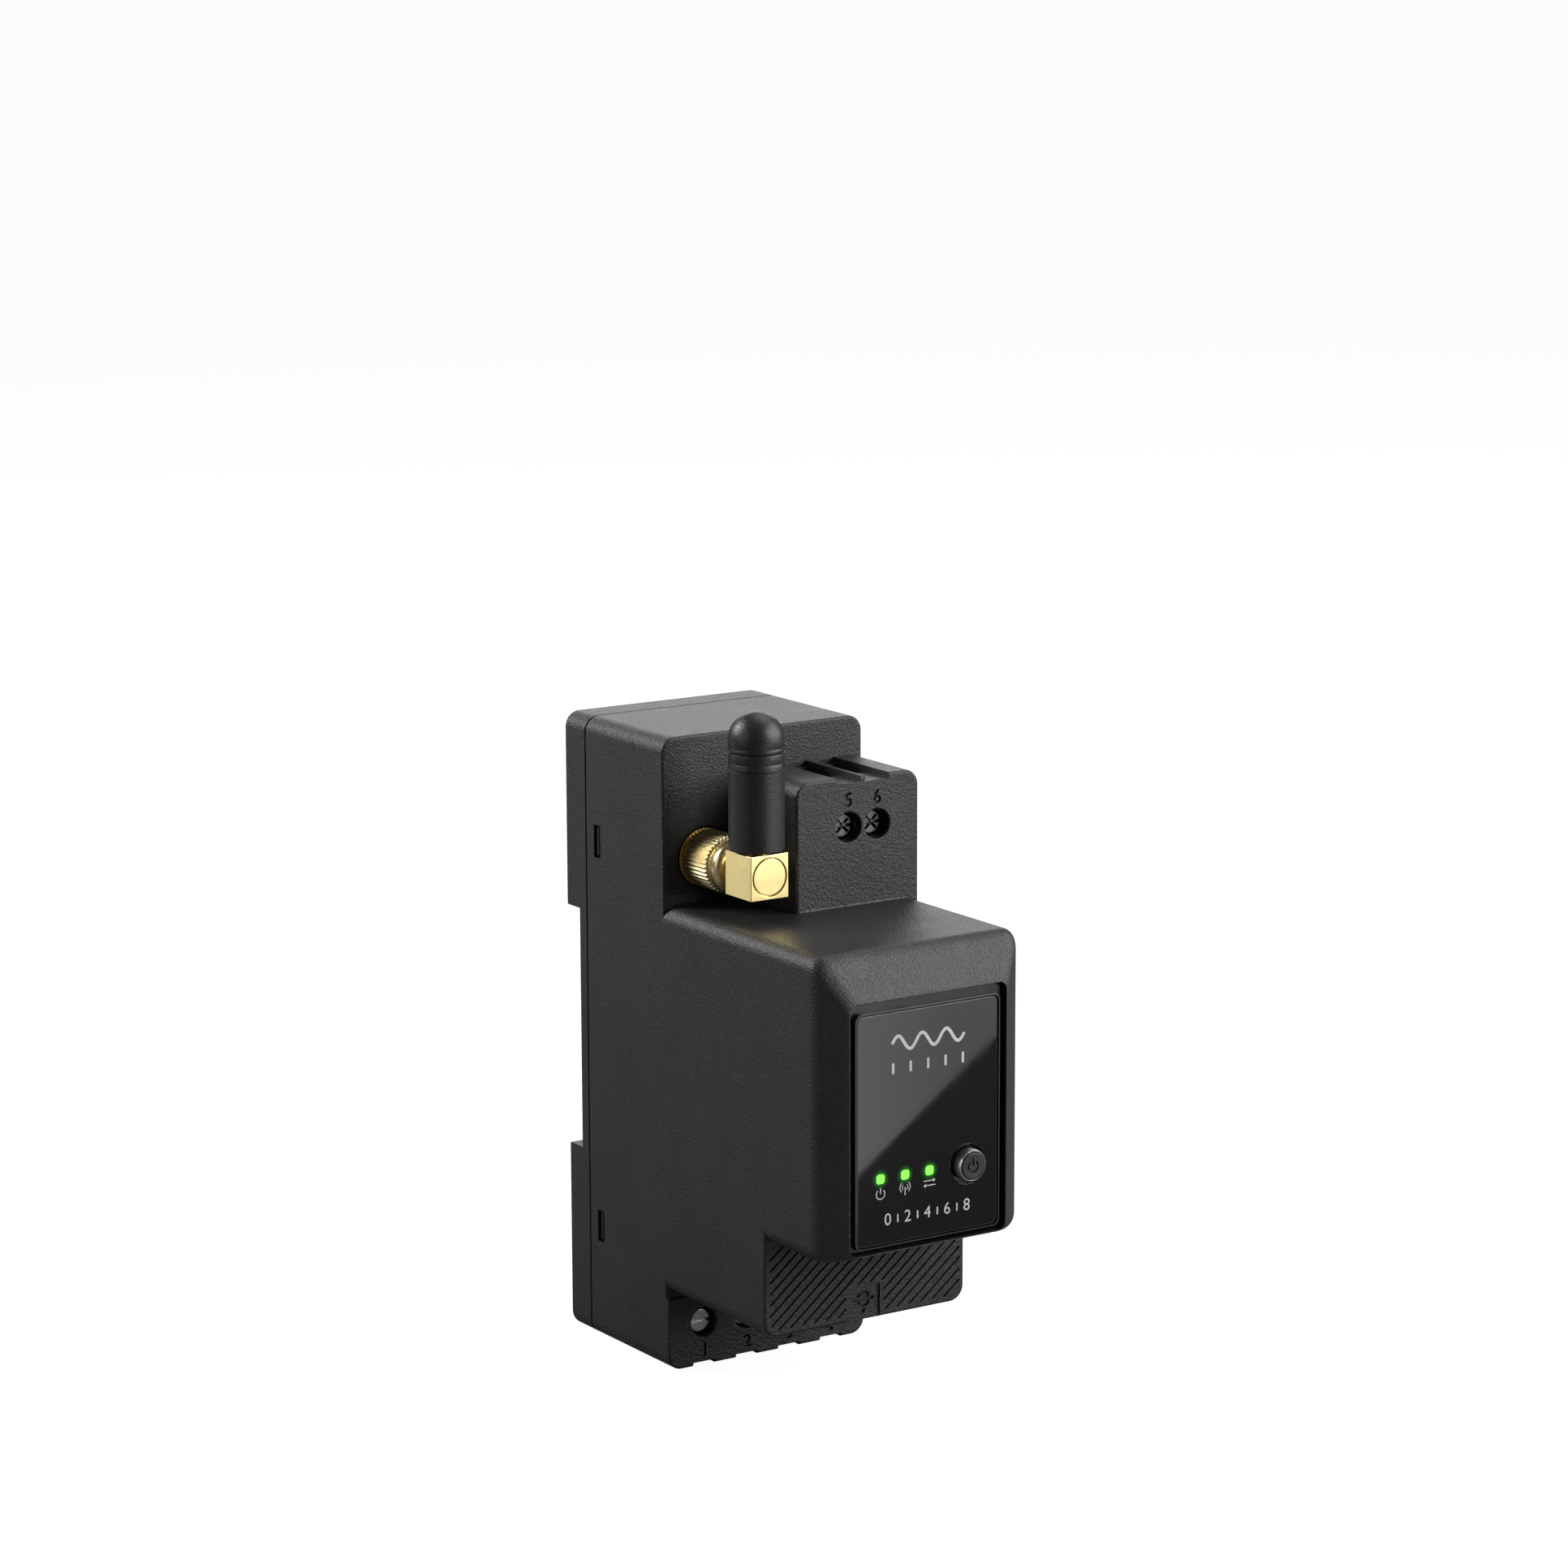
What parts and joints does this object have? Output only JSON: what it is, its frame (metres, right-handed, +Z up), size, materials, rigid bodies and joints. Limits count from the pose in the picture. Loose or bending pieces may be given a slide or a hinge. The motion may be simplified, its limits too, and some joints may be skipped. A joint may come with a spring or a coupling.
{
  "type": "smart electric meter",
  "caption": "Rail-mounted smart electric meter with a stepped black case, glass front with lamps and a push button, stub antenna, clamp terminals and current-transformer sockets.",
  "frame": {"origin": "middle of the rear face that rests on the rail, at the height of the rail's centre line", "axes": "+Z up along the case, +X to the meter's right seen from the front, +Y towards the rail, so the front panel faces -Y"},
  "size_m": [0.036, 0.073, 0.1035],
  "materials": {
    "housing": "fine-grained matte black moulded plastic",
    "clip": "smooth matte black plastic",
    "steel": "nickel-plated steel",
    "dark_steel": "blackened steel",
    "brass": "satin gold plating",
    "antenna_rubber": "semi-matte black rubber",
    "copper": "tinned copper",
    "cable": "satin black sheath",
    "terminal_plastic": "dark grey thermoplastic",
    "circuit_board": "green solder mask",
    "panel_trim": "black moulded plastic",
    "panel_glass": "glossy black back-printed glass",
    "button": "dark grey plastic",
    "chrome": "polished",
    "chip": "moulded epoxy",
    "light_guide": "clear polycarbonate",
    "lamp": "green indicator lamp",
    "core_tape": "yellow winding tape",
    "capacitor": "dark blue sleeve",
    "varistor": "blue epoxy coating",
    "fuse": "ceramic body"
  },
  "bodies": {
    "housing": {"front_housing": "housing", "rear_cover": "housing", "antenna_panel": "housing", "din_clip_spring": "steel", "sma_jack": "brass", "sma_jack_nut": "brass", "coax_pigtail": "cable", "rs485_terminal_block": "terminal_plastic", "terminal_block": "terminal_plastic", "ct_socket": "terminal_plastic", "ct_board": "circuit_board", "display_board": "circuit_board", "metering_board": "circuit_board", "power_board": "circuit_board", "comms_board": "circuit_board", "panel_tray": "panel_trim", "front_panel": "panel_glass", "tact_switch": "chip", "light_guide": "light_guide", "led_1": "lamp", "led_2": "lamp", "led_3": "lamp", "radio_module": "steel", "metering_chip": "chip", "transformer": "core_tape", "bulk_capacitor_1": "capacitor", "bulk_capacitor_2": "capacitor", "varistor": "varistor", "fuse": "fuse", "board_connector": "terminal_plastic", "terminal_bar_1": "copper", "terminal_bar_2": "copper", "terminal_bar_3": "copper", "terminal_bar_4": "copper", "rs485_bar_1": "copper", "rs485_bar_2": "copper"},
    "antenna": {"antenna_elbow": "brass", "elbow_cap": "brass", "antenna_sleeve": "antenna_rubber", "antenna_tip": "antenna_rubber", "antenna_radiator": "copper"},
    "coupling_nut": {"sma_coupling_nut": "brass"},
    "rail_clip": {"din_clip": "clip"},
    "power_button": {"power_button": "button", "button_ring": "chrome"},
    "switch_plunger": {"switch_plunger": "terminal_plastic"},
    "terminal_screw_1": {"terminal_screw_1": "steel"},
    "terminal_cage_1": {"terminal_cage_1": "steel"},
    "terminal_screw_2": {"terminal_screw_2": "steel"},
    "terminal_cage_2": {"terminal_cage_2": "steel"},
    "terminal_screw_3": {"terminal_screw_3": "steel"},
    "terminal_cage_3": {"terminal_cage_3": "steel"},
    "terminal_screw_4": {"terminal_screw_4": "steel"},
    "terminal_cage_4": {"terminal_cage_4": "steel"},
    "rs485_screw_1": {"rs485_screw_1": "dark_steel"},
    "rs485_cage_1": {"rs485_cage_1": "steel"},
    "rs485_screw_2": {"rs485_screw_2": "dark_steel"},
    "rs485_cage_2": {"rs485_cage_2": "steel"}
  },
  "joints": [
    {"name": "antenna_swing", "type": "hinge", "parent": "housing", "child": "antenna", "pos_m": [-0.0106, -0.0242, 0.02913], "axis": [0, -1, 0], "range_deg": [-8, 105]},
    {"name": "coupling_nut_turn", "type": "hinge", "parent": "antenna", "child": "coupling_nut", "pos_m": [-0.0106, -0.0242, 0.02913], "axis": [0, 1, 0], "continuous": true},
    {"name": "rail_clip_slide", "type": "slide", "parent": "housing", "child": "rail_clip", "axis": [0, 0, -1], "range_m": [0, 0.0035], "stiffness_N_per_m": 800, "springref_m": -0.003, "deforming": ["din_clip_spring"]},
    {"name": "power_button_press", "type": "slide", "parent": "housing", "child": "power_button", "axis": [0, 1, 0], "range_m": [0, 0.00035], "stiffness_N_per_m": 4000, "springref_m": -0.0001},
    {"name": "switch_plunger_press", "type": "slide", "parent": "housing", "child": "switch_plunger", "axis": [0, 1, 0], "range_m": [0, 0.00035]},
    {"name": "terminal_cage_1_rise", "type": "slide", "parent": "housing", "child": "terminal_cage_1", "axis": [0, -1, 0], "range_m": [0, 0.003]},
    {"name": "terminal_screw_1_turn", "type": "hinge", "parent": "housing", "child": "terminal_screw_1", "pos_m": [-0.01162, -0.0236, -0.0433], "axis": [0, 1, 0], "range_deg": [0, 2160]},
    {"name": "terminal_cage_2_rise", "type": "slide", "parent": "housing", "child": "terminal_cage_2", "axis": [0, -1, 0], "range_m": [0, 0.003]},
    {"name": "terminal_screw_2_turn", "type": "hinge", "parent": "housing", "child": "terminal_screw_2", "pos_m": [-0.00387, -0.0236, -0.0433], "axis": [0, 1, 0], "range_deg": [0, 2160]},
    {"name": "terminal_cage_3_rise", "type": "slide", "parent": "housing", "child": "terminal_cage_3", "axis": [0, -1, 0], "range_m": [0, 0.003]},
    {"name": "terminal_screw_3_turn", "type": "hinge", "parent": "housing", "child": "terminal_screw_3", "pos_m": [0.00387, -0.0236, -0.0433], "axis": [0, 1, 0], "range_deg": [0, 2160]},
    {"name": "terminal_cage_4_rise", "type": "slide", "parent": "housing", "child": "terminal_cage_4", "axis": [0, -1, 0], "range_m": [0, 0.003]},
    {"name": "terminal_screw_4_turn", "type": "hinge", "parent": "housing", "child": "terminal_screw_4", "pos_m": [0.01162, -0.0236, -0.0433], "axis": [0, 1, 0], "range_deg": [0, 2160]},
    {"name": "rs485_cage_1_rise", "type": "slide", "parent": "housing", "child": "rs485_cage_1", "axis": [0, -1, 0], "range_m": [0, 0.002]},
    {"name": "rs485_screw_1_turn", "type": "hinge", "parent": "housing", "child": "rs485_screw_1", "pos_m": [0.0053, -0.0375, 0.0343], "axis": [0, 1, 0], "range_deg": [0, 1800]},
    {"name": "rs485_cage_2_rise", "type": "slide", "parent": "housing", "child": "rs485_cage_2", "axis": [0, -1, 0], "range_m": [0, 0.002]},
    {"name": "rs485_screw_2_turn", "type": "hinge", "parent": "housing", "child": "rs485_screw_2", "pos_m": [0.01045, -0.0375, 0.0343], "axis": [0, 1, 0], "range_deg": [0, 1800]}
  ],
  "couplings": [
    {"joint": "switch_plunger_press", "follows": "power_button_press", "ratio": 1},
    {"joint": "terminal_screw_1_turn", "follows": "terminal_cage_1_rise", "rad_per_m": 12566},
    {"joint": "terminal_screw_2_turn", "follows": "terminal_cage_2_rise", "rad_per_m": 12566},
    {"joint": "terminal_screw_3_turn", "follows": "terminal_cage_3_rise", "rad_per_m": 12566},
    {"joint": "terminal_screw_4_turn", "follows": "terminal_cage_4_rise", "rad_per_m": 12566},
    {"joint": "rs485_screw_1_turn", "follows": "rs485_cage_1_rise", "rad_per_m": 15708},
    {"joint": "rs485_screw_2_turn", "follows": "rs485_cage_2_rise", "rad_per_m": 15708}
  ]
}
